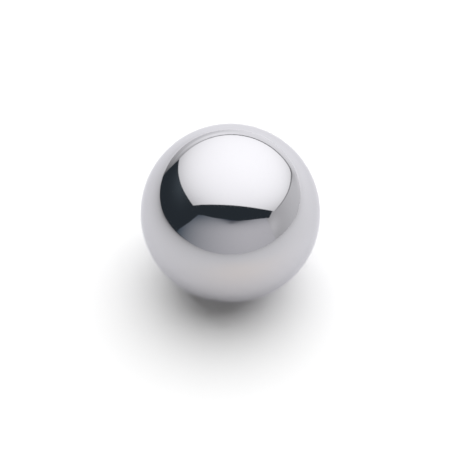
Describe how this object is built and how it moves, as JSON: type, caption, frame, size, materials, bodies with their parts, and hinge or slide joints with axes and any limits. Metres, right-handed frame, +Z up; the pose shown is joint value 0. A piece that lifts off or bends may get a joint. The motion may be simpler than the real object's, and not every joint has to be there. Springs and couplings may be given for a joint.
{
  "type": "steel ball",
  "caption": "Solid steel ball, ground and polished to a mirror, that rolls, seats in a cup, ring or race, or lies loose on a bench.",
  "frame": {"origin": "centre of the ball", "axes": "+Z up, away from the point on which the ball lies; the ball is the same about every axis"},
  "size_m": [0.0254, 0.0254, 0.0254],
  "materials": {
    "polished_steel": "lapped and polished to a mirror"
  },
  "bodies": {
    "root": {"ball": "polished_steel"}
  },
  "joints": []
}
